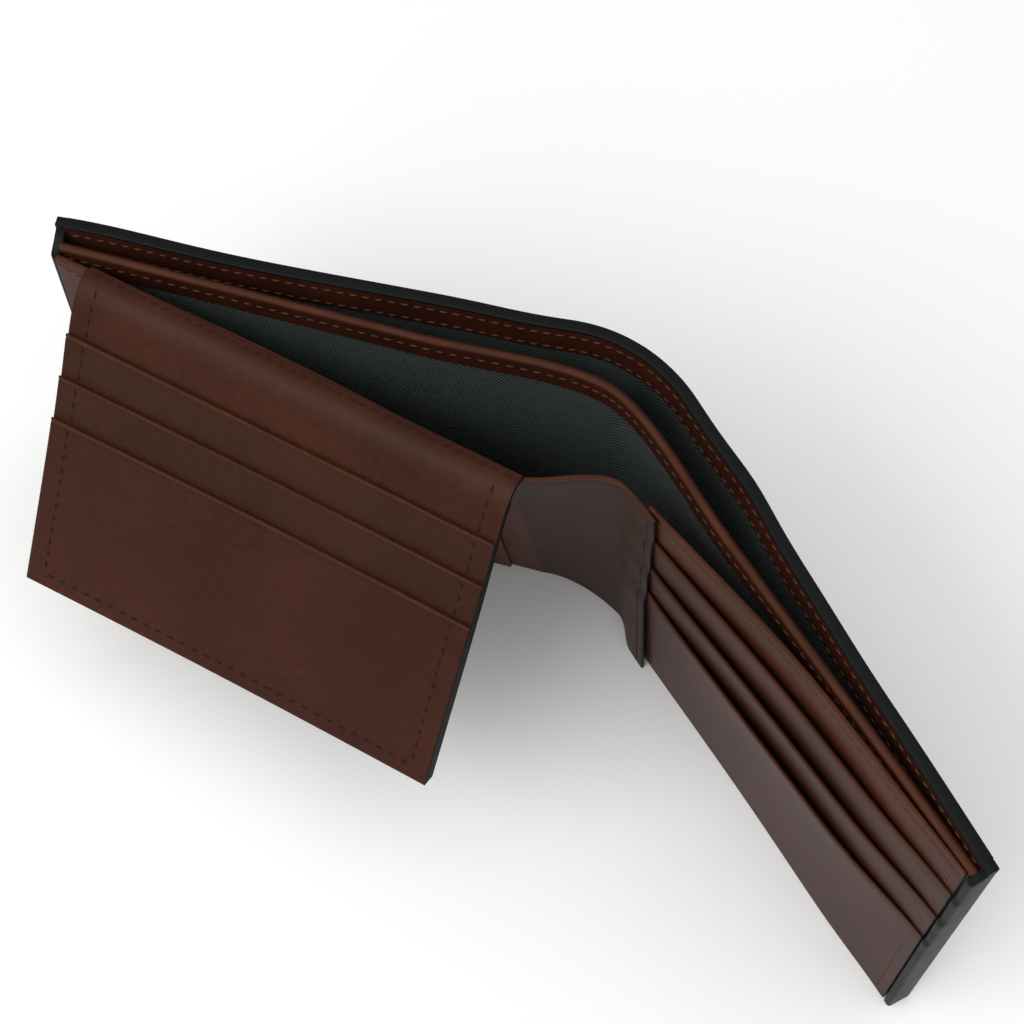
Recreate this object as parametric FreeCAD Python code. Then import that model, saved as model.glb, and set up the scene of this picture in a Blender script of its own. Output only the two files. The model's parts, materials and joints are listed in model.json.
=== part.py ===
# Open bifold wallet: outer leather in three stiff stretches (two covers and the spine), two bill
# compartments behind leather-bound dividers, inner panels with card pockets, a soft centre panel,
# and a card flap hung from the left inner panel's top seam.
# Millimetres, +Z up. It stands on its bottom edges, the V opens towards -Y.
# Origin: middle of the spine's bottom edge, half way through the outer leather.
import FreeCAD, Part
import math
import os

Vector = FreeCAD.Vector

# overall sizes
height = 95.0
cover_length = 120.0      # spine middle to cover end, along the outer face
rest_angle = 25.0         # how far each cover is turned from the X axis as it stands
spine_radius = 35.4       # outer face of the spine, seen from above
fold_gap = 0.8            # slit between spine and cover pieces at each fold line

# leathers and cloths
outer_leather = 1.5
facing_leather = 0.9
lining_cloth = 0.4
divider_cloth = 0.8
binding_leather = 0.5
panel_leather = 0.9
pocket_leather = 0.8
card_space = 0.4          # hollow behind each pocket, open at its mouth
edge_clearance = 0.3      # left between pieces that move past each other

# bands and steps
facing_band = 9.0
binding_band = 7.0
hem_band = 12.0
divider_drop = 2.0        # divider top below the cover top
inner_drop = 3.0          # inner panel top below the cover top
sewn_margin = 4.5         # stitched border beside and below each card space

# where the dividers and inner panels stand inside the covers: distance from the fold line along
# the cover, and depth in from the cover's outer face
divider_end = (103.0, 3.15)
divider_fold_top = (6.5, 10.3)
divider_fold_bottom = (6.5, 8.2)
divider_crown_top = 9.9   # depth at the middle of the spine
divider_crown_bottom = 8.0
left_end = (103.4, 5.4)
left_edge_top = (5.7, 34.4)
left_edge_bottom = (1.7, 12.2)
right_end = (102.4, 5.4)
right_edge_top = (14.4, 18.0)
right_edge_bottom = (10.0, 10.6)

# centre panel: its soft crease, as plan positions measured from the spine's outer face
crease_top = (7.0, -26.3)
crease_bottom = (4.0, -11.6)
crease_gap = 0.8
leaf_gap = 1.2

# right card pockets: mouth distances below the inner panel's top
right_mouths = (12.0, 26.0, 40.0)

# slip pocket on the left inner panel
slip_width = 42.0
slip_mouth_setback = 7.0

# card flap
flap_width = 97.5
flap_length = 71.6
flap_lean = 35.5          # how far it hangs out from upright
flap_end_setback = 8.0    # from the left end of the inner panel to the flap's side
flap_stand_off = 1.2      # hinge line in front of the hem
flap_fold_length = 9.0
flap_mouths = (11.7, 21.4, 31.2)
flap_slit = 0.5

inner_face = outer_leather + facing_leather     # deepest layer of the covers
cover_straight = cover_length - spine_radius * math.radians(rest_angle)


def save(name, shape):
    shape.exportStep("parts/" + name + ".step")


def cover_point(side, along, depth):
    """Plan position from the fold line; side is -1 for the left cover, 1 for the right."""
    turn = math.radians(rest_angle)
    fold_x = side * spine_radius * math.sin(turn)
    fold_y = outer_leather / 2 - spine_radius * (1 - math.cos(turn))
    x = fold_x + side * along * math.cos(turn) - side * depth * math.sin(turn)
    y = fold_y - along * math.sin(turn) - depth * math.cos(turn)
    return Vector(x, y, 0)


def ring(points, z):
    corners = [Vector(p.x, p.y, z) for p in points]
    return Part.makePolygon(corners + corners[:1])


def between(low_points, low, high_points, high):
    """Straight-sided solid from one plan outline at height low to another at height high."""
    return Part.makeLoft([ring(low_points, low), ring(high_points, high)], True, True)


class Sheet:
    """A sheet hung between two upright edges, each given by its plan place at the bottom and top."""

    def __init__(self, first_bottom, first_top, second_bottom, second_top, bottom, top):
        self.corners = (first_bottom, first_top, second_bottom, second_top)
        self.bottom = bottom
        self.top = top
        run = second_top - first_top
        self.length = run.Length
        self.outward = Vector(run.y, -run.x, 0).normalize()
        if self.outward.y > 0:
            self.outward = self.outward * -1

    def place(self, along, z, depth):
        first_bottom, first_top, second_bottom, second_top = self.corners
        rise = (z - self.bottom) / (self.top - self.bottom)
        first = first_bottom + (first_top - first_bottom) * rise
        second = second_bottom + (second_top - second_bottom) * rise
        return first + (second - first) * (along / self.length) + self.outward * depth

    def slab(self, start, end, low, high, back, front):
        """Solid between two distances along, two heights and two depths towards -Y."""
        spots = ((start, back), (end, back), (end, front), (start, front))
        low_ring = [self.place(along, low, depth) for along, depth in spots]
        high_ring = [self.place(along, high, depth) for along, depth in spots]
        return between(low_ring, low, high_ring, high)


def cover_slab(side, start, end, low, high, outer, inner):
    spots = ((start, outer), (end, outer), (end, inner), (start, inner))
    points = [cover_point(side, along, depth) for along, depth in spots]
    return between(points, low, points, high)


def arc_sector(outer_depth, inner_depth, low, high):
    """Spine layer between two depths, as an arc in plan that stops short of both fold lines."""
    centre_y = outer_leather / 2 - spine_radius
    outer_radius = spine_radius - outer_depth
    inner_radius = spine_radius - inner_depth
    half = math.radians(rest_angle) - fold_gap / 2 / spine_radius

    def spot(radius, angle):
        return Vector(radius * math.sin(angle), centre_y + radius * math.cos(angle), low)

    outer = Part.Arc(spot(outer_radius, -half), spot(outer_radius, 0), spot(outer_radius, half))
    inner = Part.Arc(spot(inner_radius, half), spot(inner_radius, 0), spot(inner_radius, -half))
    sides = [
        Part.LineSegment(spot(outer_radius, half), spot(inner_radius, half)),
        Part.LineSegment(spot(inner_radius, -half), spot(outer_radius, -half)),
    ]
    edges = [outer.toShape(), sides[0].toShape(), inner.toShape(), sides[1].toShape()]
    return Part.Face(Part.Wire(edges)).extrude(Vector(0, 0, high - low))


def make_covers():
    """Outer leather, cloth lining and leather facing band of both covers and the spine."""
    band = height - facing_band
    for side, name in ((-1, "left"), (1, "right")):
        start = fold_gap / 2
        save("shell_" + name, cover_slab(side, start, cover_straight, 0, height, 0, outer_leather))
        lining = cover_slab(side, start, cover_straight, 0, band,
                            outer_leather, outer_leather + lining_cloth)
        save("lining_" + name, lining)
        facing = cover_slab(side, start, cover_straight, band, height, outer_leather, inner_face)
        save("facing_" + name, facing)
    save("shell_spine", arc_sector(0, outer_leather, 0, height))
    save("lining_spine", arc_sector(outer_leather, outer_leather + lining_cloth, 0, band))
    save("facing_spine", arc_sector(outer_leather, inner_face, band, height))


def divider_sheet(side):
    top = height - divider_drop
    end = cover_point(side, *divider_end)
    fold_bottom = cover_point(side, *divider_fold_bottom)
    fold_top = cover_point(side, *divider_fold_top)
    return Sheet(end, end, fold_bottom, fold_top, 0, top)


def make_dividers():
    """Cloth dividers with a leather binding folded over the top edge."""
    top = height - divider_drop
    under = top - binding_leather
    for side, name in ((-1, "left"), (1, "right")):
        sheet = divider_sheet(side)
        stop = sheet.length
        cloth = sheet.slab(0, stop, 0, under, 0, divider_cloth)
        wrap = sheet.slab(0, stop, top - binding_band, top,
                          -binding_leather, divider_cloth + binding_leather)
        save("divider_" + name, cloth)
        save("divider_binding_" + name, wrap.cut(cloth))


def bowed(low_depths, high_depths, low, high):
    """Divider stretch across the spine: an arc in plan at each height, from outer to inner depth."""
    def outline(z, depths):
        rise = z / (height - divider_drop)
        lines = []
        for depth in depths:
            left_low = cover_point(-1, *divider_fold_bottom)
            left_top = cover_point(-1, *divider_fold_top)
            end = left_low + (left_top - left_low) * rise
            crown = divider_crown_bottom + (divider_crown_top - divider_crown_bottom) * rise
            middle = Vector(0, outer_leather / 2 - crown - depth, z)
            first = Vector(end.x + edge_clearance * 2, end.y - depth, z)
            last = Vector(-first.x, first.y, z)
            lines.append((first, middle, last))
        (a, b, c), (d, e, f) = lines
        parts = [
            Part.Arc(a, b, c).toShape(),
            Part.LineSegment(c, f).toShape(),
            Part.Arc(f, e, d).toShape(),
            Part.LineSegment(d, a).toShape(),
        ]
        return Part.Wire(parts)

    return Part.makeLoft([outline(low, low_depths), outline(high, high_depths)], True, True)


def make_divider_middle():
    top = height - divider_drop
    under = top - binding_leather
    cloth_depths = (0, divider_cloth)
    wrap_depths = (-binding_leather, divider_cloth + binding_leather)
    cloth = bowed(cloth_depths, cloth_depths, 0, under)
    wrap = bowed(wrap_depths, wrap_depths, top - binding_band, top)
    save("divider_spine", cloth)
    save("divider_binding_spine", wrap.cut(cloth))


def inner_sheet(side):
    top = height - inner_drop
    ends, edge_top, edge_bottom = (right_end, right_edge_top, right_edge_bottom)
    if side < 0:
        ends, edge_top, edge_bottom = (left_end, left_edge_top, left_edge_bottom)
    end = cover_point(side, *ends)
    return Sheet(end, end, cover_point(side, *edge_bottom), cover_point(side, *edge_top), 0, top)


def make_left_panel():
    """Left inner panel, its turned hem, cloth back and the slip pocket beside the centre."""
    sheet = inner_sheet(-1)
    top = height - inner_drop
    hem_low = top - hem_band
    stop = sheet.length
    save("inner_panel_left", sheet.slab(0, stop, 0, hem_low, 0, panel_leather))
    save("inner_lining_left", sheet.slab(0, stop, 0, hem_low, -lining_cloth, 0))
    hem = sheet.slab(0, stop, hem_low, top, -lining_cloth, panel_leather)
    save("inner_hem_left", hem)
    mouth = stop - slip_mouth_setback
    slip = sheet.slab(mouth - slip_width, mouth, 0, hem_low, panel_leather,
                      panel_leather + pocket_leather)
    space = sheet.slab(mouth - slip_width + sewn_margin, mouth, sewn_margin, hem_low - sewn_margin,
                       panel_leather, panel_leather + card_space)
    save("slip_pocket_left", slip.cut(space))


def card_pocket(sheet, start, end, low, mouth, back):
    """Pocket leather sewn at both sides and below, hollowed behind for cards, open at the mouth."""
    body = sheet.slab(start, end, low, mouth, back, back + pocket_leather)
    space = sheet.slab(start + sewn_margin, end - sewn_margin, low + sewn_margin, mouth,
                       back, back + card_space)
    return body.cut(space)


def make_right_panel():
    """Right inner panel with three stepped card pockets on its front and a cloth back."""
    sheet = inner_sheet(1)
    top = height - inner_drop
    stop = sheet.length
    save("inner_panel_right", sheet.slab(0, stop, 0, top, 0, panel_leather))
    save("inner_lining_right", sheet.slab(0, stop, 0, top - hem_band, -lining_cloth, 0))
    back = panel_leather
    for mouth, name in zip(right_mouths, ("top", "middle", "front")):
        save("pocket_right_" + name, card_pocket(sheet, 0, stop, 0, top - mouth, back))
        back += pocket_leather


def make_centre_panel():
    """Soft leather between the inner panels, in two leaves that meet at the crease."""
    top = height - inner_drop
    lift = Vector(0, outer_leather / 2, 0)
    low_crease = Vector(*crease_bottom, 0) + lift
    high_crease = Vector(*crease_top, 0) + lift
    for side, name in ((-1, "left"), (1, "right")):
        sheet = inner_sheet(side)
        edge_low = sheet.place(sheet.length, 0, 0)
        edge_high = sheet.place(sheet.length, top, 0)
        leaf = Sheet(edge_low, edge_high, low_crease, high_crease, 0, top)
        save("centre_panel_" + name,
             leaf.slab(leaf_gap, leaf.length - crease_gap / 2, 0, top, 0, panel_leather))


def flap_axes():
    """Hinge line start, its direction, and the flap's downward and outward directions."""
    sheet = inner_sheet(-1)
    top = height - inner_drop + 1.0
    depth = panel_leather + flap_stand_off
    start = sheet.place(flap_end_setback, height - inner_drop, depth)
    end = sheet.place(flap_end_setback + flap_width, height - inner_drop, depth)
    start.z = top
    end.z = top
    across = (end - start).normalize()
    level = Vector(across.y, -across.x, 0)
    lean = math.radians(flap_lean)
    down = level * math.sin(lean) - Vector(0, 0, math.cos(lean))
    out = level * math.cos(lean) + Vector(0, 0, math.sin(lean))
    return start, across, down, out


def flap_block(low, high, back, front, inset=0.0):
    """Block on the flap: distances down from the hinge line, depths out from its back face."""
    start, across, down, out = flap_axes()
    spots = ((inset, back), (flap_width - inset, back), (flap_width - inset, front), (inset, front))
    ring_points = [start + across * x + down * low + out * y for x, y in spots]
    face = Part.Face(Part.makePolygon(ring_points + ring_points[:1]))
    return face.extrude(down * (high - low))


def make_flap():
    """Card flap: folded hinge strip, backing, base and three stepped card pockets."""
    save("flap_fold", flap_block(0, flap_fold_length, -pocket_leather, panel_leather))
    low = flap_fold_length + flap_slit
    save("flap_backing", flap_block(low, flap_length, -pocket_leather, 0))
    save("flap_base", flap_block(low, flap_length, 0, panel_leather))
    back = panel_leather
    for mouth, name in zip(flap_mouths, ("top", "middle", "front")):
        body = flap_block(mouth, flap_length, back, back + pocket_leather)
        space = flap_block(mouth, flap_length - sewn_margin, back, back + card_space, sewn_margin)
        save("flap_pocket_" + name, body.cut(space))
        back += pocket_leather


os.makedirs("parts", exist_ok=True)
make_covers()
make_dividers()
make_divider_middle()
make_left_panel()
make_right_panel()
make_centre_panel()
make_flap()
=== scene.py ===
import json
import math
import bpy
import numpy as np
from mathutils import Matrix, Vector


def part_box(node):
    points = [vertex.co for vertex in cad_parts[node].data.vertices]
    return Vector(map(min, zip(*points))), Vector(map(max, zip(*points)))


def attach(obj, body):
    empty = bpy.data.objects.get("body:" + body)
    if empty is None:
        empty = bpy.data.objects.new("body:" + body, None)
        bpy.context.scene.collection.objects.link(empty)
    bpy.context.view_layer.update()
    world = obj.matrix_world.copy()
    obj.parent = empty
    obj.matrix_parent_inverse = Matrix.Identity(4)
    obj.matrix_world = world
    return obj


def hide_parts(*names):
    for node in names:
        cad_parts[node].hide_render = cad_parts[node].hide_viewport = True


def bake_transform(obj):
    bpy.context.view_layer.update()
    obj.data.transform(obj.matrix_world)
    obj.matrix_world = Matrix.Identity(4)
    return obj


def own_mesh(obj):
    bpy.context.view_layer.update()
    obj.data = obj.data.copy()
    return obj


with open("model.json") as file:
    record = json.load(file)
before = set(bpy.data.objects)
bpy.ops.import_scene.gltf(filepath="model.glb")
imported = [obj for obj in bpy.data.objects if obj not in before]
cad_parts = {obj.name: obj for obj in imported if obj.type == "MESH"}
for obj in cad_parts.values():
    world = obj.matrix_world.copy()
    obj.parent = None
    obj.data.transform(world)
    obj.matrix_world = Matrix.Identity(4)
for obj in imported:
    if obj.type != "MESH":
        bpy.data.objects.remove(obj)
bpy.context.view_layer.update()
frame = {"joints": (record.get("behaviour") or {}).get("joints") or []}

mm = 0.001
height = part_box("shell_left")[1][2] / mm
print("frame loaded, wallet", round(height), "mm high")


def linear(hexColour):
    # sRGB hex to linear, channel by channel
    channels = [int(hexColour[i:i + 2], 16) / 255 for i in (1, 3, 5)]
    return [c / 12.92 if c <= 0.04045 else ((c + 0.055) / 1.055) ** 2.4 for c in channels] + [1.0]


def addNode(tree, kind, settings, links=()):
    # a node with its settings, and links given as (from node, output, own input)
    node = tree.nodes.new(kind)
    for name, value in settings.items():
        if isinstance(name, str) and hasattr(node, name):
            setattr(node, name, value)
        else:
            node.inputs[name].default_value = value
    for source, output, target in links:
        tree.links.new(source.outputs[output], node.inputs[target])
    return node


def newMaterial(name):
    material = bpy.data.materials.new(name)
    material.use_nodes = True
    material.node_tree.nodes.clear()
    return material, material.node_tree


def leather(name, look):
    # vegetable-tanned cowhide, drum-dyed and waxed: soft broad shade changes, fine pebble grain
    # and a low, wide sheen
    material, tree = newMaterial(name)
    place = addNode(tree, "ShaderNodeTexCoord", {})
    cloud = addNode(tree, "ShaderNodeTexNoise", {"Scale": 1 / (look["cloudSize"] * mm), "Detail": 3.0,
                    "Roughness": 0.55}, [(place, "Object", "Vector")])
    speck = addNode(tree, "ShaderNodeTexNoise", {"Scale": 1 / (1.6 * mm), "Detail": 4.0,
                    "Roughness": 0.7}, [(place, "Object", "Vector")])
    grain = addNode(tree, "ShaderNodeTexVoronoi", {"feature": "SMOOTH_F1", "Smoothness": 0.4,
                    "Scale": 1 / (look["grainSize"] * mm), "Randomness": 1.0},
                    [(place, "Object", "Vector")])
    broad = addNode(tree, "ShaderNodeMapRange", {"From Min": 0.35, "From Max": 0.65},
                    [(cloud, "Fac", "Value")])
    shade = addNode(tree, "ShaderNodeMix", {"data_type": "RGBA", 6: linear(look["dark"]),
                    7: linear(look["base"])}, [(broad, "Result", 0)])
    pores = addNode(tree, "ShaderNodeMapRange", {"From Min": 0.3, "From Max": 0.75, "To Min": 0.78,
                    "To Max": 1.1}, [(speck, "Fac", "Value")])
    tone = addNode(tree, "ShaderNodeVectorMath", {"operation": "SCALE"},
                   [(shade, 2, 0), (pores, "Result", "Scale")])
    gloss = addNode(tree, "ShaderNodeMapRange", {"To Min": look["roughness"] - 0.06,
                    "To Max": look["roughness"] + 0.08}, [(speck, "Fac", "Value")])
    relief = addNode(tree, "ShaderNodeMath", {"operation": "MULTIPLY_ADD", 1: 0.6},
                     [(grain, "Distance", 0), (speck, "Fac", 2)])
    bump = addNode(tree, "ShaderNodeBump", {"Strength": look["relief"], "Distance": 0.12 * mm},
                   [(relief, "Value", "Height")])
    surface = addNode(tree, "ShaderNodeBsdfPrincipled", {"IOR": 1.5, "Specular IOR Level": 0.12,
                      "Sheen Weight": look["sheen"], "Sheen Roughness": 0.5,
                      "Sheen Tint": linear("#c9a184")},
                      [(tone, "Vector", "Base Color"), (gloss, "Result", "Roughness"),
                       (bump, "Normal", "Normal")])
    addNode(tree, "ShaderNodeOutputMaterial", {}, [(surface, "BSDF", "Surface")])
    return material


def twill(name, look):
    # polyester lining twill: fine diagonal ribs over a matt black ground, ribs in the piece's
    # own UV, which is in metres along the cloth
    material, tree = newMaterial(name)
    place = addNode(tree, "ShaderNodeTexCoord", {})
    turned = addNode(tree, "ShaderNodeMapping", {"Rotation": (0, 0, math.radians(look["ribAngle"]))},
                     [(place, "UV", "Vector")])
    # the real ribs are about 0.35 mm apart, too fine to show, so they are drawn at 1 mm
    ribs = addNode(tree, "ShaderNodeTexWave", {"bands_direction": "X", "Distortion": 0.6,
                   "Detail": 1.0, "Scale": math.pi / 10 / (look["ribSpacing"] * mm)},
                   [(turned, "Vector", "Vector")])
    fuzz = addNode(tree, "ShaderNodeTexNoise", {"Scale": 1 / (2.5 * mm), "Detail": 5.0},
                   [(place, "Object", "Vector")])
    cloud = addNode(tree, "ShaderNodeTexNoise", {"Scale": 1 / (18 * mm), "Detail": 2.0},
                    [(place, "Object", "Vector")])
    blend = addNode(tree, "ShaderNodeMath", {"operation": "MULTIPLY"},
                    [(ribs, "Fac", 0), (fuzz, "Fac", 1)])
    shade = addNode(tree, "ShaderNodeMix", {"data_type": "RGBA", 6: linear(look["dark"]),
                    7: linear(look["base"])}, [(blend, "Value", 0)])
    patch = addNode(tree, "ShaderNodeMapRange", {"From Min": 0.3, "From Max": 0.7, "To Min": 0.75,
                    "To Max": 1.25}, [(cloud, "Fac", "Value")])
    tone = addNode(tree, "ShaderNodeVectorMath", {"operation": "SCALE"},
                   [(shade, 2, 0), (patch, "Result", "Scale")])
    bump = addNode(tree, "ShaderNodeBump", {"Strength": 0.9, "Distance": 0.2 * mm},
                   [(ribs, "Fac", "Height")])
    surface = addNode(tree, "ShaderNodeBsdfPrincipled", {"Roughness": 0.72, "IOR": 1.5,
                      "Sheen Weight": 0.25, "Sheen Roughness": 0.4,
                      "Sheen Tint": linear("#8fa19a")},
                      [(tone, "Vector", "Base Color"), (bump, "Normal", "Normal")])
    addNode(tree, "ShaderNodeOutputMaterial", {}, [(surface, "BSDF", "Surface")])
    return material


def coated(name, look):
    # a smooth coat over a slightly uneven base: acrylic edge paint, or waxed polyester thread
    material, tree = newMaterial(name)
    place = addNode(tree, "ShaderNodeTexCoord", {})
    wave = addNode(tree, "ShaderNodeTexNoise", {"Scale": 1 / (look["unevenSize"] * mm),
                   "Detail": 3.0}, [(place, "Object", "Vector")])
    shade = addNode(tree, "ShaderNodeMix", {"data_type": "RGBA", 6: linear(look["dark"]),
                    7: linear(look["base"])}, [(wave, "Fac", 0)])
    gloss = addNode(tree, "ShaderNodeMapRange", {"To Min": look["roughness"] - 0.08,
                    "To Max": look["roughness"] + 0.1}, [(wave, "Fac", "Value")])
    bump = addNode(tree, "ShaderNodeBump", {"Strength": 0.35, "Distance": 0.1 * mm},
                   [(wave, "Fac", "Height")])
    surface = addNode(tree, "ShaderNodeBsdfPrincipled", {"IOR": 1.5, "Specular IOR Level": 0.12},
                      [(shade, 2, "Base Color"), (gloss, "Result", "Roughness"),
                       (bump, "Normal", "Normal")])
    addNode(tree, "ShaderNodeOutputMaterial", {}, [(surface, "BSDF", "Surface")])
    return material


# dye lots of one hide family: dark outside, redder facing, paler or duller inside; the turned edges
# below carry a painted highlight and the centre panel painted shade
coverLeather = leather("outer cowhide", {"base": "#2e1811", "dark": "#25130c", "cloudSize": 30,
                       "grainSize": 0.9, "roughness": 0.5, "relief": 0.35, "sheen": 0.04})
facingLeather = leather("facing cowhide, red-brown", {"base": "#3a180e", "dark": "#301209",
                        "cloudSize": 20, "grainSize": 0.8, "roughness": 0.52, "relief": 0.3,
                        "sheen": 0.03})
flapLeather = leather("flap cowhide, waxed", {"base": "#3d1c0e", "dark": "#34170b", "cloudSize": 28,
                      "grainSize": 0.75, "roughness": 0.42, "relief": 0.4, "sheen": 0.04})
oliveLeather = leather("flap pocket cowhide, duller dye lot", {"base": "#371c0e", "dark": "#31180b",
                       "cloudSize": 28, "grainSize": 0.75, "roughness": 0.52, "relief": 0.3,
                       "sheen": 0.03})
panelLeather = leather("inner cowhide", {"base": "#462012", "dark": "#3a190e", "cloudSize": 24,
                       "grainSize": 0.8, "roughness": 0.5, "relief": 0.32, "sheen": 0.03})
pocketLeather = leather("pocket cowhide, plum-brown", {"base": "#391a13", "dark": "#30150f",
                        "cloudSize": 24, "grainSize": 0.8, "roughness": 0.48, "relief": 0.28,
                        "sheen": 0.03})
# where a thin edge is folded over, its rounded top is painted paler and warmer: a painted highlight
highlitTurnedLeather = leather("turned edge, painted highlight", {"base": "#472412", "dark": "#3b1d0e",
                        "cloudSize": 12, "grainSize": 0.7, "roughness": 0.48, "relief": 0.25,
                        "sheen": 0.05})
# darker than the other inner cowhide: painted shade of the crease the centre panel lies in
shadedCentreLeather = leather("centre cowhide, painted shade", {"base": "#2f160e", "dark": "#27110a",
                        "cloudSize": 18, "grainSize": 0.7, "roughness": 0.52, "relief": 0.3,
                        "sheen": 0.03})
liningTwill = twill("black lining twill", {"base": "#353f3c", "dark": "#090c0b", "ribAngle": 52,
                    "ribSpacing": 1.0})
# paint rolled on the cut edges, which reads as a thin dark outline
edgePaint = coated("black acrylic edge paint", {"base": "#0d0f10", "dark": "#08090a",
                   "unevenSize": 6, "roughness": 0.5})
# polyester thread drawn through wax: a faint tan line on the seams, dark on the flap
paleThread = coated("waxed thread, tan", {"base": "#5c4430", "dark": "#463222",
                    "unevenSize": 2, "roughness": 0.6})
darkThread = coated("waxed thread, dark brown", {"base": "#2e1a14", "dark": "#1e100c",
                    "unevenSize": 2, "roughness": 0.6})
print("materials made")


def newPiece(name, points, faces, materials, faceMaterial=None, uv=None):
    # points in millimetres; the faces are turned if the signed volume comes out negative
    points = np.asarray(points, float).reshape(-1, 3)
    faces = np.asarray(faces).reshape(-1, 4)
    a, b, c, d = (points[faces[:, i]] for i in range(4))
    volume = np.einsum("ij,ij->", a, np.cross(b, c)) + np.einsum("ij,ij->", a, np.cross(c, d))
    if volume < 0:
        faces = faces[:, ::-1]
    mesh = bpy.data.meshes.new(name)
    mesh.from_pydata((points * mm).tolist(), [], faces.tolist())
    mesh.polygons.foreach_set("use_smooth", np.ones(len(faces), bool))
    for material in materials:
        mesh.materials.append(material)
    if faceMaterial is not None:
        mesh.polygons.foreach_set("material_index", np.asarray(faceMaterial, np.int32))
    if uv is not None:
        layer = mesh.uv_layers.new(name="UVMap")
        corners = np.asarray(uv, float).reshape(-1, 2)[faces.reshape(-1)] * mm
        layer.data.foreach_set("uv", corners.reshape(-1))
    mesh.update()
    piece = bpy.data.objects.new(name, mesh)
    bpy.context.scene.collection.objects.link(piece)
    return piece


def smooth(x):
    x = np.clip(x, 0, 1)
    return x * x * (3 - 2 * x)


def gridLines(low, high, count, inset):
    # evenly spread lines, with a few more close to both ends for the rounded rim
    nearHalf = (high - low) * 0.45
    near = np.array([gap for gap in inset if gap < nearHalf])
    return np.concatenate([low + near, np.linspace(low + near[-1], high - near[-1], count)[1:-1],
                           (high - near)[::-1]])


# a layer's rounded rim: radius as a share of the thickness; a turned edge's crease and swell in mm
rim = {"radius": 0.42, "crease": 0.14, "swell": 0.10, "reach": 0.01}


def slab(name, place, look):
    # A layer of leather or cloth: front and back grids of place(along, height, depth), joined
    # round the rim. Near the rim the front sinks and the back rises on a quarter circle, except
    # at squareSides, where another piece goes on. The groove is a shallow crease pressed along a
    # turned edge.
    (a0, a1), (h0, h1), (back, front) = look["along"], look["height"], look["depth"]
    radius = rim["radius"] * min(front - back, a1 - a0, h1 - h0)
    turned = max(look.get("turned", 0), radius * 1.2)
    inset = [0, 0.08 * radius, 0.3 * radius, 0.65 * radius, radius, turned, turned + 0.35]
    counts = look.get("count", (60, 24))
    a = gridLines(a0, a1, counts[0], inset)
    h = gridLines(h0, h1, counts[1], inset)
    along, rise = np.meshgrid(a, h, indexing="ij")
    gaps = {"start": along - a0, "end": a1 - along, "low": rise - h0, "high": h1 - rise}
    rounded = [gap for side, gap in gaps.items() if side not in look.get("squareSides", ())]
    nearest = np.minimum.reduce(rounded)
    drop = radius - np.sqrt(np.maximum(radius ** 2 - (radius - np.minimum(nearest, radius)) ** 2, 0))
    groove = np.zeros_like(drop)
    for side in look.get("turnedSides", ()):
        groove += rim["crease"] * (np.abs(gaps[side] - turned) < rim["reach"])
        groove -= rim["swell"] * (gaps[side] < turned - rim["reach"]) * (gaps[side] > radius * 0.2)
    frontPoints = place(along, rise, front - drop - groove)
    backPoints = place(along, rise, back + drop)
    total = len(a) * len(h)
    index = np.arange(total).reshape(len(a), len(h))
    quads = np.stack([index[:-1, :-1], index[1:, :-1], index[1:, 1:], index[:-1, 1:]], -1)
    quads = quads.reshape(-1, 4)
    loop = np.concatenate([index[:, 0], index[-1, 1:], index[-2::-1, -1], index[0, -2:0:-1]])
    after = np.roll(loop, -1)
    sides = np.stack([after, loop, loop + total, after + total], -1)
    faces = np.concatenate([quads, quads[:, ::-1] + total, sides])

    def near(side, width):
        # the faces that lie wholly within width of one side
        return np.tile(gaps[side].reshape(-1), 2)[faces].max(axis=1) < width + 0.001

    faceMaterial = np.zeros(len(faces), int)
    # faces along a turned edge take the turned material, which is painted paler as a highlight
    for side in look.get("turnedSides", ()):
        faceMaterial[near(side, turned)] = 1
    for side in look.get("paintedSides", ()):
        faceMaterial[near(side, radius * 0.65)] = 2
    if "backMaterial" in look:
        faceMaterial[len(quads):2 * len(quads)] = 3
    uv = np.stack([along, rise], -1).reshape(-1, 2)
    materials = [look["material"], look.get("turnedHighlightMaterial", highlitTurnedLeather), edgePaint,
                 look.get("backMaterial", look["material"])]
    points = np.concatenate([frontPoints.reshape(-1, 3), backPoints.reshape(-1, 3)])
    return newPiece(name, points, faces, materials, faceMaterial, np.concatenate([uv, uv]))


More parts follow.
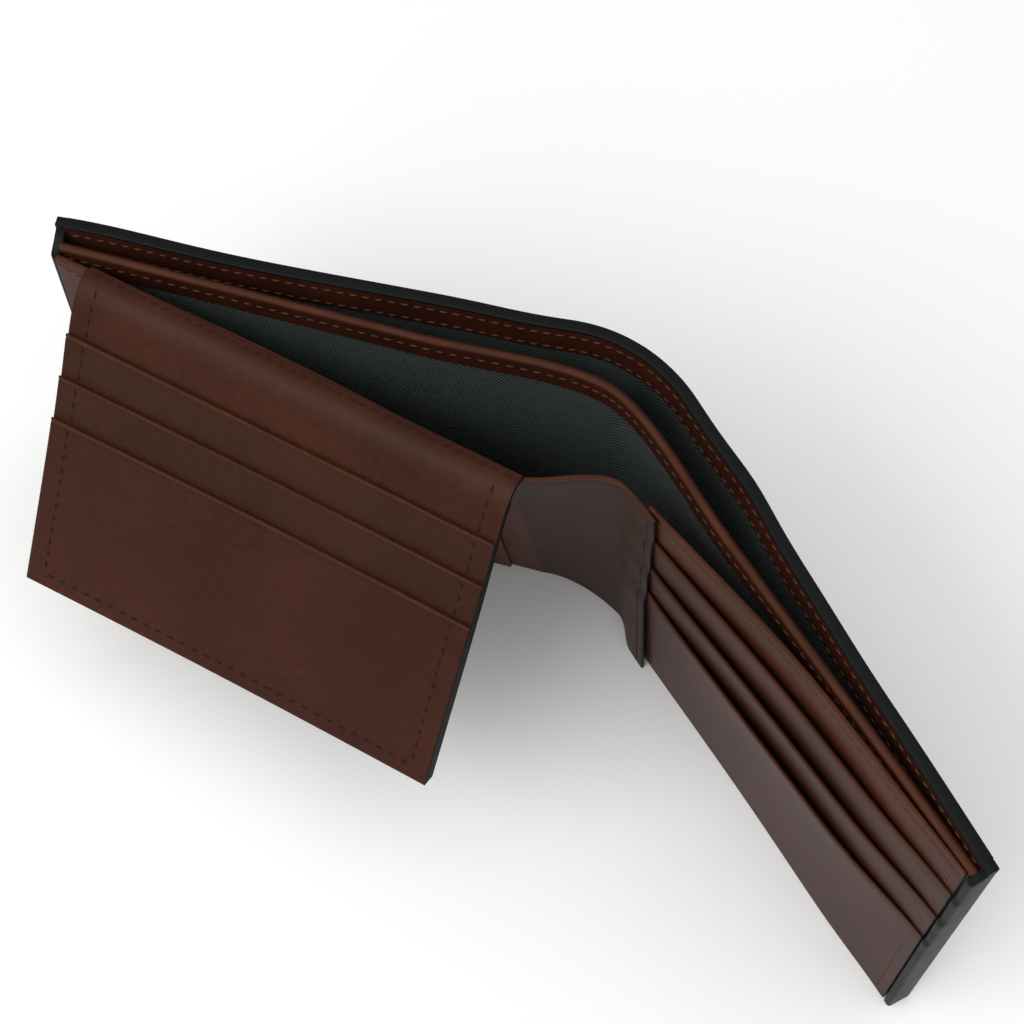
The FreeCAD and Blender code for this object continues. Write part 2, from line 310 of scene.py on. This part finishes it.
def stitches(name, place, look):
    # Thread stitches along straight runs of the sheet's own (along, height) at one depth. Each is
    # a six-sided capsule that arches out of the leather and dives back in at both ends, and leans
    # a little to one side, as saddle stitches do.
    rings, sides, slant = 5, 6, 0.12
    t = np.linspace(-1, 1, rings)
    angle = np.arange(sides) / sides * 2 * math.pi
    thick = look["thread"] / 2 * np.sqrt(np.clip(1.02 - t ** 4, 0, 1))
    shape = np.stack([np.repeat(t * look["length"] / 2, sides),
                      (thick[:, None] * np.cos(angle)).reshape(-1),
                      (thick[:, None] * np.sin(angle) + (look["arch"] * (1 - t ** 2))[:, None]
                       - look["arch"] * 0.55).reshape(-1)], -1)
    ring = np.arange(sides)
    after = np.roll(ring, -1)
    body = np.concatenate([np.stack([ring, after, after + sides, ring + sides], -1) + k * sides
                           for k in range(rings - 1)])
    last = (rings - 1) * sides
    caps = np.array([[3, 2, 1, 0], [5, 4, 3, 0], [last, last + 1, last + 2, last + 3],
                     [last, last + 3, last + 4, last + 5]])
    template = np.concatenate([body, caps])
    points, faces, made = [], [], 0
    for start, end in look["runs"]:
        start, end = np.array(start, float), np.array(end, float)
        span = np.linalg.norm(place(*end, look["depth"]) - place(*start, look["depth"]))
        count = max(int(round(span / look["pitch"])), 1)
        share = ((np.arange(count) + 0.5) / count)[:, None]
        spot = start + (end - start) * share
        step = (end - start) / span * 0.5
        centre = place(spot[:, 0], spot[:, 1], np.full(count, look["depth"]))
        ahead = place(spot[:, 0] + step[0], spot[:, 1] + step[1], np.full(count, look["depth"]))
        above = place(spot[:, 0], spot[:, 1], np.full(count, look["depth"] + 0.5))
        forward = ahead - centre
        forward /= np.linalg.norm(forward, axis=1, keepdims=True)
        out = above - centre
        out -= forward * np.sum(out * forward, axis=1, keepdims=True)
        out /= np.linalg.norm(out, axis=1, keepdims=True)
        across = np.cross(out, forward)
        lean = forward + across * slant
        side = across - forward * slant
        block = (centre[:, None] + lean[:, None] * shape[None, :, :1]
                 + side[:, None] * shape[None, :, 1:2] + out[:, None] * shape[None, :, 2:3])
        points.append(block.reshape(-1, 3))
        offset = (np.arange(count) * len(shape) + made)[:, None, None]
        faces.append((template[None] + offset).reshape(-1, 4))
        made += count * len(shape)
    return newPiece(name, np.concatenate(points), np.concatenate(faces), [look["material"]])


cover = {"length": 120.0, "turn": 25.0, "radius": 35.4, "leather": 1.5, "facing": 0.9,
         "lining": 0.4, "band": 9.0, "footTaper": 0.15, "paint": 1.9, "stitchInset": 2.6,
         "bend": 7.0}
turn = math.radians(cover["turn"])
foldAlong = cover["radius"] * turn
centreY = cover["leather"] / 2 - cover["radius"]
foldX = cover["radius"] * math.sin(turn)
foldY = centreY + cover["radius"] * math.cos(turn)
coverInner = cover["leather"] + cover["facing"]


def coverPlace(side):
    # along is measured from the spine's middle on the outer face: an arc up to the fold line,
    # then straight but for soft waves, each a bell curve in along: (middle, width, depth inwards)
    waves = ((116, 24, -1.9), (22, 12, 0.6)) if side < 0 else ((36, 10, -0.8), (78, 14, 0.3))

    def place(along, rise, depth):
        angle = np.minimum(along, foldAlong) / cover["radius"]
        straight = np.maximum(along - foldAlong, 0)
        reach = cover["radius"] - depth
        sway = sum(deep * np.exp(-((along - middle) / wide) ** 2) for middle, wide, deep in waves)
        x = reach * np.sin(angle) + straight * math.cos(turn) - sway * math.sin(turn)
        y = centreY + reach * np.cos(angle) - straight * math.sin(turn) - sway * math.cos(turn)
        return np.stack([side * x, y, rise + 0 * x], -1)
    return place


def endDepth(side, rise):
    # how deep the stack of layers sewn into the cover's end is at each height
    leftSteps = ((height - 2, 2.6), (height - 3, 2.6))
    rightSteps = ((height - 2, 2.0), (height - 3, 0.9), (height - 15, 0.5), (height - 29, 0.5),
                  (height - 43, 0.5))
    steps = leftSteps if side < 0 else rightSteps
    tight = 1 - cover["footTaper"] * (1 - rise / height) * (side > 0)
    return tight * (coverInner + sum(gain * smooth((top - rise) / 0.5) for top, gain in steps))


def endPlace(side):
    # the painted end follows the stepped front of that stack
    place = coverPlace(side)
    deepest = endDepth(side, np.array(0.0))
    return lambda along, rise, depth: place(along, rise, depth * endDepth(side, rise) / deepest)


def foldPoint(side, along, depth=2.5):
    return tuple(coverPlace(side)(np.array(along), np.array(0.0), np.array(depth)) * mm)


def joinCover(piece, side):
    # each half of the cover is baked where it stands; the points either side of its fold line are
    # worked out but not used
    foldPoint(side, foldAlong - cover["bend"])
    foldPoint(side, foldAlong + cover["bend"])
    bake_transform(piece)


def outsidePlace(side):
    # the cover's outside, with depth counted outwards
    place = coverPlace(side)
    return lambda along, rise, depth: place(along, rise, -depth)


fineThread = {"pitch": 2.6, "length": 1.9, "thread": 0.32, "arch": 0.14, "material": paleThread}
for side, half in ((-1, "left"), (1, "right")):
    place = coverPlace(side)
    length, inset = cover["length"], cover["stitchInset"]
    top = height - cover["band"]
    painted = length - cover["paint"]
    shell = slab("shell_leather_" + half, place, {
        "squareSides": ("start",), "along": (0, length - 0.3), "height": (0.2, height - 0.3),
        "depth": (0.02, cover["leather"]), "material": coverLeather, "count": (90, 30)})
    facing = slab("facing_band_" + half, place, {
        "squareSides": ("start",), "along": (0, length - 0.3), "height": (top, height - 0.3),
        "depth": (cover["leather"], coverInner), "material": facingLeather, "count": (90, 6)})
    lining = slab("lining_cloth_" + half, place, {
        "squareSides": ("start",), "along": (0, length - 1), "height": (0.3, top + 1.5),
        "depth": (cover["leather"], cover["leather"] + cover["lining"]),
        "material": liningTwill, "count": (90, 30)})
    paintTop = slab("painted_edge_top_" + half, place, {
        "squareSides": ("start",), "along": (0, painted), "height": (height - 0.9, height),
        "depth": (-0.05, coverInner + 0.08), "material": edgePaint, "count": (90, 3)})
    paintLow = slab("painted_edge_foot_" + half, place, {
        "squareSides": ("start",), "along": (0, painted), "height": (0, 0.8),
        "depth": (-0.05, coverInner - 0.3), "material": edgePaint, "count": (90, 3)})
    paintEnd = slab("painted_edge_end_" + half, endPlace(side), {
        "along": (painted, length + 0.1), "height": (0, height),
        "depth": (-0.05, endDepth(side, np.array(0.0)) + 0.1), "material": edgePaint,
        "count": (4, 90)})
    rows = stitches("facing_stitches_" + half, place, {
        "runs": [((0, height - inset), (length - 2.5, height - inset)),
                 ((0, top + 1.5), (length - 2.5, top + 1.5))], "depth": coverInner, **fineThread})
    endRow = stitches("outer_stitches_" + half, outsidePlace(side), {
        "runs": [((length - inset, inset), (length - inset, height - inset)),
                 ((0, height - inset), (length - 3.5, height - inset)),
                 ((0, inset), (length - 3.5, inset))], "depth": 0.0, **fineThread})
    for piece in (shell, facing, lining, paintTop, paintLow, paintEnd, rows, endRow):
        joinCover(piece, side)
    for piece, node in ((shell, "shell"), (facing, "facing"), (lining, "lining")):
        middle = [node + "_spine"] if side > 0 else []
        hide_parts(node + "_" + half, *middle)
print("covers made")


divider = {"top": height - 2, "end": (103.0, 3.15), "foldTop": 10.3, "foldFoot": 8.2,
           "crownTop": 9.9, "crownFoot": 8.0, "foldAlong": 6.5, "cloth": 0.8, "binding": 0.5,
           "band": 7.0, "roundAlong": 22.0, "crownHandle": 10.0, "joinHandle": 13.0,
           "curveSlack": 1.02, "length": 115.0, "bend": (2.0, 24.0), "turned": 1.3}


def coverPoint(side, along, depth):
    # plan position from the fold line, as x and y arrays
    x = foldX + along * math.cos(turn) - depth * math.sin(turn)
    y = foldY - along * math.sin(turn) - depth * math.cos(turn)
    return side * x, y


def dividerPlace(side):
    # At each height, a cubic curve leaves the spine's middle level and meets a straight run to the
    # cover's end. Depth is along the plan line's own normal, towards -Y.
    def place(along, rise, depth):
        share = np.clip(rise / divider["top"], 0, 1)
        fold = divider["foldFoot"] + (divider["foldTop"] - divider["foldFoot"]) * share
        crown = divider["crownFoot"] + (divider["crownTop"] - divider["crownFoot"]) * share
        crownY = cover["leather"] / 2 - crown
        endX, endY = coverPoint(1, *divider["end"])
        turnX, turnY = coverPoint(1, divider["foldAlong"] + 0 * share, fold)
        run = np.hypot(endX - turnX, endY - turnY)
        runX, runY = (endX - turnX) / run, (endY - turnY) / run
        joinX, joinY = turnX + runX * divider["roundAlong"], turnY + runY * divider["roundAlong"]
        knots = ((0 * share, crownY), (divider["crownHandle"] + 0 * share, crownY),
                 (joinX - runX * divider["joinHandle"], joinY - runY * divider["joinHandle"]),
                 (joinX, joinY))
        curved = np.hypot(joinX, joinY - crownY) * divider["curveSlack"]
        t = np.clip(along / curved, 0, 1)
        weights = ((1 - t) ** 3, 3 * t * (1 - t) ** 2, 3 * t * t * (1 - t), t ** 3)
        slopes = (3 * (1 - t) ** 2, 6 * t * (1 - t), 3 * t * t)
        x = sum(w * knot[0] for w, knot in zip(weights, knots))
        y = sum(w * knot[1] for w, knot in zip(weights, knots))
        slopeX = sum(w * (knots[i + 1][0] - knots[i][0]) for i, w in enumerate(slopes))
        slopeY = sum(w * (knots[i + 1][1] - knots[i][1]) for i, w in enumerate(slopes))
        slope = np.hypot(slopeX, slopeY)
        beyond = np.maximum(along - curved, 0)
        x = x + beyond * runX + depth * slopeY / slope
        y = y + beyond * runY - depth * slopeX / slope
        return np.stack([side * x, y, rise + 0 * x], -1)
    return place


for side, half in ((-1, "left"), (1, "right")):
    place = dividerPlace(side)
    length, top = divider["length"], divider["top"]
    clothTop = top - divider["band"] + 1
    cloth = slab("divider_cloth_" + half, place, {
        "squareSides": ("start",), "along": (0, length), "height": (0.3, clothTop),
        "depth": (0, divider["cloth"]), "material": liningTwill, "count": (90, 26)})
    binding = slab("binding_leather_" + half, place, {
        "squareSides": ("start",), "along": (0, length),
        "height": (top - divider["band"], top + 0.2),
        "depth": (-divider["binding"], divider["cloth"] + divider["binding"]),
        "material": facingLeather, "backMaterial": facingLeather, "turnedSides": ("high",),
        "turned": divider["turned"], "count": (90, 6)})
    row = stitches("divider_stitches_" + half, place, {
        "runs": [((0, top - 2.9), (length - 1, top - 2.9))],
        "depth": divider["cloth"] + divider["binding"], **fineThread})
    bendStart, bendEnd = (tuple(place(np.array(along), np.array(0.0), np.array(0.0)) * mm)
                          for along in divider["bend"])
    for piece in (cloth, binding, row):
        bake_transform(piece)
    for piece, node in ((cloth, "divider"), (binding, "divider_binding")):
        middle = [node + "_spine"] if side > 0 else []
        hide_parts(node + "_" + half, *middle)
print("dividers made")


inner = {"top": height - 3, "hem": 12.0, "leather": 0.9, "cloth": 0.4, "pocket": 0.8,
         "leftEnd": (103.4, 5.4), "leftTop": (5.7, 34.4), "leftFoot": (1.7, 12.2),
         "rightEnd": (102.4, 5.4), "rightTop": (14.4, 18.0), "rightFoot": (10.0, 10.6),
         "bowLeft": (1.3, 0.3), "bowRight": (2.4, 0.8), "squeeze": 0.35, "press": 0.8,
         "pressLength": 15.0, "footSqueeze": 0.3, "footPress": 0.8}


def sheetPlace(end, foot, head, side, bows):
    # a ruled sheet from the cover's end to the inner edge; its middle bows towards the shell, by
    # the two bows at its top and its foot
    endSpot = np.array(coverPoint(side, *end))
    footSpot = np.array(coverPoint(side, *foot))
    headSpot = np.array(coverPoint(side, *head))
    run = headSpot - endSpot
    length = np.hypot(*run)
    outward = np.array([run[1], -run[0]]) / length
    outward = outward if outward[1] < 0 else -outward

    def place(along, rise, depth):
        share = rise / inner["top"]
        inX = footSpot[0] + (headSpot[0] - footSpot[0]) * share
        inY = footSpot[1] + (headSpot[1] - footSpot[1]) * share
        t = along / length
        bow = bows[1] + (bows[0] - bows[1]) * share
        bow = bow * np.sin(np.clip(t, 0, 1) * math.pi) ** 1.2
        x = endSpot[0] + (inX - endSpot[0]) * t + outward[0] * (depth - bow)
        y = endSpot[1] + (inY - endSpot[1]) * t + outward[1] * (depth - bow)
        return np.stack([x, y, rise + 0 * x], -1)
    return place, length


leftPlace, leftLength = sheetPlace(inner["leftEnd"], inner["leftFoot"], inner["leftTop"], -1,
                                   inner["bowLeft"])
flatPlace, rightLength = sheetPlace(inner["rightEnd"], inner["rightFoot"], inner["rightTop"], 1,
                                    inner["bowRight"])
hemLow = inner["top"] - inner["hem"]


def rightPlace(along, rise, depth):
    # the stack is skived thin and pressed towards the cover where it is sewn into the end, and
    # lies tighter towards its foot
    pressed = np.exp(-(along / inner["pressLength"]) ** 2)
    footed = 1 - rise / inner["top"]
    thin = 1 - inner["squeeze"] * pressed - inner["footSqueeze"] * footed
    shift = inner["press"] * pressed + inner["footPress"] * footed * (1 - pressed)
    return flatPlace(along, rise, depth * thin - shift)


def joinLeft(piece):
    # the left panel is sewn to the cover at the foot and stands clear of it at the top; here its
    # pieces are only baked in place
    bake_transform(piece)


slip = {"mouth": leftLength - 7.0, "width": 42.0, "leather": 0.9}
leftPanel = slab("left_panel_leather", leftPlace, {
    "along": (0, leftLength + 0.8), "height": (0.2, hemLow + 0.5),
    "depth": (0, inner["leather"]), "material": panelLeather, "count": (60, 24),
    "paintedSides": ("start", "low")})
leftBack = slab("left_panel_cloth", leftPlace, {
    "along": (0.4, leftLength - 0.4), "height": (0.4, hemLow + 0.5),
    "depth": (-inner["cloth"], 0), "material": liningTwill, "count": (60, 24)})
leftHem = slab("left_hem_leather", leftPlace, {
    "along": (0, leftLength + 0.8), "height": (hemLow, inner["top"] + 0.3),
    "depth": (-inner["cloth"], inner["leather"]), "material": panelLeather,
    "turnedSides": ("high",), "turned": 1.4, "paintedSides": ("start",), "count": (60, 8)})
leftRow = stitches("hem_stitches_left", leftPlace, {
    "runs": [((1.5, inner["top"] - 3.0), (leftLength - 1.5, inner["top"] - 3.0))],
    "depth": inner["leather"], **fineThread})
slipPocket = slab("left_slip_pocket", leftPlace, {
    "along": (slip["mouth"] - slip["width"], slip["mouth"]), "height": (0.3, hemLow + 1),
    "depth": (inner["leather"], inner["leather"] + slip["leather"]), "material": panelLeather,
    "turnedSides": ("end",), "turned": 1.0, "count": (26, 24)})
for piece in (leftPanel, leftBack, slipPocket):
    joinLeft(piece)
for piece in (leftHem, leftRow):
    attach(piece, "left_inner")
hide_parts("inner_panel_left")
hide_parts("inner_lining_left")
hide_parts("inner_hem_left")
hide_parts("slip_pocket_left")

rightPanel = slab("right_panel_leather", rightPlace, {
    "along": (0, rightLength), "height": (0.2, inner["top"] + 0.3),
    "depth": (0, inner["leather"]), "material": panelLeather, "turnedSides": ("high",),
    "turned": 1.6, "paintedSides": ("start", "low"), "count": (70, 26)})
rightBack = slab("right_panel_cloth", rightPlace, {
    "along": (0.4, rightLength - 0.4), "height": (0.4, inner["top"] - inner["hem"]),
    "depth": (-inner["cloth"], 0), "material": liningTwill, "count": (70, 24)})
rightRow = stitches("top_stitches_right", rightPlace, {
    "runs": [((1.5, inner["top"] - 3.2), (rightLength - 1.5, inner["top"] - 3.2))],
    "depth": inner["leather"], **fineThread})
pieces = [rightPanel, rightBack, rightRow]
cardPockets = {"mouths": (12.0, 26.0, 40.0), "gape": (1.3, 1.5, 1.7),
               "names": ("top", "middle", "front"), "carry": 0.45, "fade": 16.0, "endRow": 2.6}


def gapingPlace(mouth, gape):
    # the pocket's mouth stands open most at mid-length and closes towards its foot and seams
    def place(along, rise, depth):
        t = np.clip(along / rightLength, 0, 1)
        fade = np.exp(-(mouth - rise) / cardPockets["fade"])
        return rightPlace(along, rise, depth + gape * np.sin(t * math.pi) ** 0.8 * fade)
    return place


back = inner["leather"]
gapeSoFar = 0.0
for drop, gape, part in zip(cardPockets["mouths"], cardPockets["gape"], cardPockets["names"]):
    mouth = inner["top"] - drop
    # each pocket is also pushed out by part of the gape of the one behind it
    gapeSoFar = gapeSoFar * cardPockets["carry"] + gape
    # the pocket's turned mouth takes the paler inner cowhide: a painted highlight along the rolled
    # edge
    pocket = slab("card_pocket_right_" + part, gapingPlace(mouth, gapeSoFar), {
        "along": (0, rightLength - 0.2), "height": (0.2, mouth),
        "depth": (back + 0.05, back + inner["pocket"]), "material": pocketLeather,
        "turnedSides": ("high",), "turned": 0.9, "turnedHighlightMaterial": panelLeather,
        "paintedSides": ("start", "low"), "count": (70, 22)})
    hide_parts("pocket_right_" + part)
    pieces.append(pocket)
    back += inner["pocket"]
tops = [inner["top"] - 3.5] + [inner["top"] - drop - 1 for drop in cardPockets["mouths"]]
lows = [inner["top"] - drop + 0.5 for drop in cardPockets["mouths"]] + [1.5]
for level, (low, top) in enumerate(zip(lows, tops)):
    pieces.append(stitches("end_stitches_right_%d" % level, rightPlace, {
        "runs": [((cardPockets["endRow"], low), (cardPockets["endRow"], top))],
        "depth": inner["leather"] + inner["pocket"] * level, **fineThread}))
for piece in pieces:
    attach(piece, "right_inner")
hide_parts("inner_panel_right")
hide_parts("inner_lining_right")
print("inner panels made")


centre = {"creaseTop": (7.0, -26.3), "creaseFoot": (4.0, -11.6), "leather": 0.9, "lap": 3.6,
          "curve": 26.0, "over": 1.05, "turned": 1.5, "seam": 2.0, "keepLeft": 0.6,
          "keepRight": 0.5}
lift = cover["leather"] / 2


def centrePlace(along, rise, depth):
    # At each height a cubic curve from the left panel's edge (0) to the right stack's edge (1),
    # drawn out towards the crease. Past 1 it runs straight and laps over the card pockets.
    share = rise / inner["top"]
    left = leftPlace(leftLength + 0 * rise, rise, 0 * rise)
    right = rightPlace(rightLength + 0 * rise, rise, 0 * rise)
    creaseX, creaseY = (low + (high - low) * share
                        for low, high in zip(centre["creaseFoot"], centre["creaseTop"]))
    knotX = (left[..., 0], left[..., 0] + 6 + 3.6 * share, creaseX + 3 - 3 * share, right[..., 0])
    knotY = (left[..., 1], left[..., 1] + 3.5 - 0.3 * share, lift + creaseY + 1 + 4 * share,
             right[..., 1])
    t = np.clip(along, 0, 1)
    weights = ((1 - t) ** 3, 3 * t * (1 - t) ** 2, 3 * t * t * (1 - t), t ** 3)
    slopes = (3 * (1 - t) ** 2, 6 * t * (1 - t), 3 * t * t)
    x = sum(w * knot for w, knot in zip(weights, knotX))
    y = sum(w * knot for w, knot in zip(weights, knotY))
    slopeX = sum(w * (knotX[i + 1] - knotX[i]) for i, w in enumerate(slopes))
    slopeY = sum(w * (knotY[i + 1] - knotY[i]) for i, w in enumerate(slopes))
    slope = np.hypot(slopeX, slopeY)
    past = np.maximum(along - 1, 0) * centre["curve"]
    # the lap steps up over each pocket's mouth
    overPockets = centre["over"] + inner["pocket"] * sum(
        smooth((inner["top"] - drop + 1 - rise) / 3) for drop in cardPockets["mouths"])
    push = depth + overPockets * smooth((along - 0.72) / 0.24)
    lapX, lapY = math.cos(turn + 0.08), -math.sin(turn - 0.08)
    return np.stack([x + past * lapX + push * slopeY / slope,
                     y + past * lapY - push * slopeX / slope, rise + 0 * x], -1)


def scaledPlace(along, rise, depth):
    # along in millimetres
    return centrePlace(along / centre["curve"], rise, depth)


creaseAlong = centre["curve"] / 2
lapEnd = centre["curve"] + centre["lap"]
leafHeight = (0.2, inner["top"] + 0.3)
leftLeaf = slab("centre_leather_left", scaledPlace, {
    "squareSides": ("end",), "along": (0.2, creaseAlong), "height": leafHeight,
    "depth": (0, centre["leather"]), "material": shadedCentreLeather, "turnedSides": ("high",),
    "turned": centre["turned"], "paintedSides": ("low",), "count": (24, 24)})
rightLeaf = slab("centre_leather_right", scaledPlace, {
    "squareSides": ("start",), "along": (creaseAlong, lapEnd), "height": leafHeight,
    "depth": (0, centre["leather"]), "material": shadedCentreLeather, "turnedSides": ("high",),
    "turned": centre["turned"], "paintedSides": ("low", "end"), "count": (30, 24)})
lapRow = stitches("centre_stitches", scaledPlace, {
    "runs": [((lapEnd - centre["seam"], 2), (lapEnd - centre["seam"], inner["top"] - 4))],
    "depth": centre["leather"], **fineThread, "material": darkThread})
creaseSpot, leftSpot, rightSpot = (centrePlace(np.array(t), np.array(46.0), np.array(0.0)) * mm
                                   for t in (0.5, 0.0, 1.0))
# each leaf rides its own body and gets a mesh of its own; the seam spot and the share to keep are
# given but not used
for piece, body, spot, keep in ((leftLeaf, "left_leaf", leftSpot, centre["keepLeft"]),
                                (rightLeaf, "right_leaf", rightSpot, centre["keepRight"]),
                                (lapRow, "right_leaf", rightSpot, centre["keepRight"])):
    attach(piece, body)
    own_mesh(piece)
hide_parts("centre_panel_left")
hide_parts("centre_panel_right")
print("centre panel made")


flap = {"width": 97.5, "length": 71.6, "lean": 35.5, "mouths": (11.7, 21.4, 31.2), "leather": 0.9,
        "pocket": 0.8, "crown": 1.7, "crownAt": 8.0, "tuck": 2.6, "margin": 4.2, "skew": 2.6,
        "sag": 0.5, "back": 0.8, "foot": 3.2, "turned": 0.75, "foldBack": 0.8}
hinge = next(joint for joint in frame["joints"] if joint["name"] == "flap_lift")
hingeStart = np.array(hinge["pos_m"]) / mm
acrossFlap = -np.array(hinge["axis"], float)
levelOut = np.array([acrossFlap[1], -acrossFlap[0], 0])
lean = math.radians(flap["lean"])


def flapProfile(down):
    # (out from the wall, up) of the flap's back: nearly level over the hem, then hanging at the
    # lean with a soft crown just below the hinge line
    below = np.maximum(down, 0)
    above = np.minimum(down, 0)
    crown = flap["crown"] * (below / flap["crownAt"]) * np.exp(1 - below / flap["crownAt"])
    out = below * math.sin(lean) + crown * math.cos(lean) + above
    up = -below * math.cos(lean) + crown * math.sin(lean) - 0.09 * above ** 2 + 0.1 * above
    return out, up


def flapPlace(along, down, depth):
    # the profile above, carried along the hinge line; depth is along the profile's own normal
    out, up = flapProfile(down)
    outAhead, upAhead = flapProfile(down + 0.05)
    slopeOut, slopeUp = outAhead - out, upAhead - up
    slope = np.hypot(slopeOut, slopeUp)
    out = out - depth * slopeUp / slope
    up = up + depth * slopeOut / slope
    sag = flap["sag"] * np.sin(np.clip(along / flap["width"], 0, 1) * math.pi) * smooth(down / 30)
    out = out - sag * math.cos(lean)
    along = np.asarray(along) + flap["skew"] * np.maximum(down, 0) / flap["length"]
    return (hingeStart + acrossFlap * along[..., None] + levelOut * np.asarray(out)[..., None]
            + np.array([0, 0, 1.0]) * np.asarray(up)[..., None])


def risingPlace(along, rise, depth):
    # slab and stitches count upwards, so the flap's distance down goes in as minus down
    return flapPlace(along, -rise, depth)


flapThread = {"pitch": 3.0, "length": 1.9, "thread": 0.42, "arch": 0.1, "material": darkThread}
base = slab("flap_base_leather", risingPlace, {
    "along": (0, flap["width"]), "height": (-flap["length"], flap["tuck"]),
    "depth": (0, flap["leather"]), "material": flapLeather, "count": (70, 60),
    "paintedSides": ("start", "end", "low"), "turned": flap["foldBack"]})
backing = slab("flap_back_leather", risingPlace, {
    "along": (0, flap["width"]), "height": (-flap["length"], -3.0),
    "depth": (-flap["back"], -0.02), "material": flapLeather, "count": (70, 50),
    "paintedSides": ("start", "end", "low")})
flapPieces = [base, backing]
back = flap["leather"]
for mouth, part, hide in zip(flap["mouths"], ("top", "middle", "front"),
                             (oliveLeather, oliveLeather, flapLeather)):
    pocket = slab("flap_pocket_leather_" + part, risingPlace, {
        "along": (0, flap["width"]), "height": (-flap["length"], -mouth),
        "depth": (back + 0.03, back + flap["pocket"]), "material": hide,
        "turnedSides": ("high",), "turned": flap["turned"], "count": (70, 40),
        "paintedSides": ("start", "end", "low")})
    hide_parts("flap_pocket_" + part)
    flapPieces.append(pocket)
    back += flap["pocket"]
levels = [0.5] + [mouth + 0.5 for mouth in flap["mouths"]] + [flap["length"] - 3.5]
sideLines = (flap["margin"], flap["width"] - flap["margin"])
flapRows = []
for level, (high, low) in enumerate(zip(levels[:-1], levels[1:])):
    runs = [((line, 0.6 - low), (line, -high)) for line in sideLines]
    if level == 3:
        foot = flap["foot"] - flap["length"]
        runs.append(((sideLines[0], foot), (sideLines[1], foot)))
    flapRows.append(stitches("flap_stitches_%d" % level, risingPlace, {
        "runs": runs, "depth": flap["leather"] + flap["pocket"] * level, **flapThread}))
seamRow = stitches("flap_seam_stitches", risingPlace, {
    "runs": [((1.5, 1.0), (flap["width"] - 1.5, 1.0))], "depth": flap["leather"],
    **fineThread, "material": darkThread})
for piece in flapPieces + flapRows + [seamRow]:
    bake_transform(piece)
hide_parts("flap_base", "flap_fold")
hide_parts("flap_backing")
print("flap made")


view = {"position": (106.1, -182.75, 463.6), "azimuth": 36.93, "elevation": 64.63, "lens": 76.9,
        "sensor": 36}
stage = {"sky": 0.55, "reach": 4.0}
floorMaterial, floorTree = newMaterial("matt white paper sweep")
floorNoise = addNode(floorTree, "ShaderNodeTexNoise", {"Scale": 40.0})
floorTone = addNode(floorTree, "ShaderNodeMix", {"data_type": "RGBA", 6: linear("#f4f4f3"),
                    7: linear("#f8f8f7")}, [(floorNoise, "Fac", 0)])
floorSurface = addNode(floorTree, "ShaderNodeBsdfPrincipled", {"Roughness": 0.9},
                       [(floorTone, 2, "Base Color")])
addNode(floorTree, "ShaderNodeOutputMaterial", {}, [(floorSurface, "BSDF", "Surface")])
floorMesh = bpy.data.meshes.new("floor")
floorCorners = [(x * stage["reach"], y * stage["reach"], 0)
                for x, y in ((-1, -1), (1, -1), (1, 1), (-1, 1))]
floorMesh.from_pydata(floorCorners, [], [(0, 1, 2, 3)])
floorMesh.materials.append(floorMaterial)
floor = bpy.data.objects.new("floor", floorMesh)
bpy.context.scene.collection.objects.link(floor)

world = bpy.context.scene.world or bpy.data.worlds.new("studio")
bpy.context.scene.world = world
bpy.context.scene.view_settings.view_transform = "Standard"
world.use_nodes = True
world.node_tree.nodes.clear()
sky = addNode(world.node_tree, "ShaderNodeBackground", {"Color": (1, 1, 1, 1),
              "Strength": stage["sky"]})
addNode(world.node_tree, "ShaderNodeOutputWorld", {}, [(sky, "Background", "Surface")])


def softLight(name, settings):
    light = bpy.data.lights.new(name, "AREA")
    light.energy = settings["power"]
    light.shape = "RECTANGLE"
    light.size, light.size_y = settings["size"]
    lamp = bpy.data.objects.new(name, light)
    lamp.location = settings["position"]
    aim = Vector(settings["target"]) - lamp.location
    lamp.rotation_euler = aim.to_track_quat("-Z", "Y").to_euler()
    bpy.context.scene.collection.objects.link(lamp)


softLight("key softbox", {"power": 5.5, "size": (0.9, 0.6), "position": (-0.3, -0.75, 0.85),
          "target": (-0.02, -0.04, 0.06)})
softLight("top softbox", {"power": 13.0, "size": (1.8, 1.8), "position": (0.2, -0.3, 1.6),
          "target": (0.05, -0.03, 0.0)})

camera = bpy.data.objects.new("camera", bpy.data.cameras.new("camera"))
bpy.context.scene.collection.objects.link(camera)
camera.data.lens = view["lens"]
camera.data.sensor_width = view["sensor"]
camera.data.clip_start = 0.01
camera.location = Vector(view["position"]) * mm
azimuth, elevation = math.radians(view["azimuth"]), math.radians(view["elevation"])
looking = Vector((-math.sin(azimuth) * math.cos(elevation), math.cos(azimuth) * math.cos(elevation),
                  -math.sin(elevation)))
camera.rotation_euler = looking.to_track_quat("-Z", "Y").to_euler()
bpy.context.scene.camera = camera
print("stage, light and camera set")
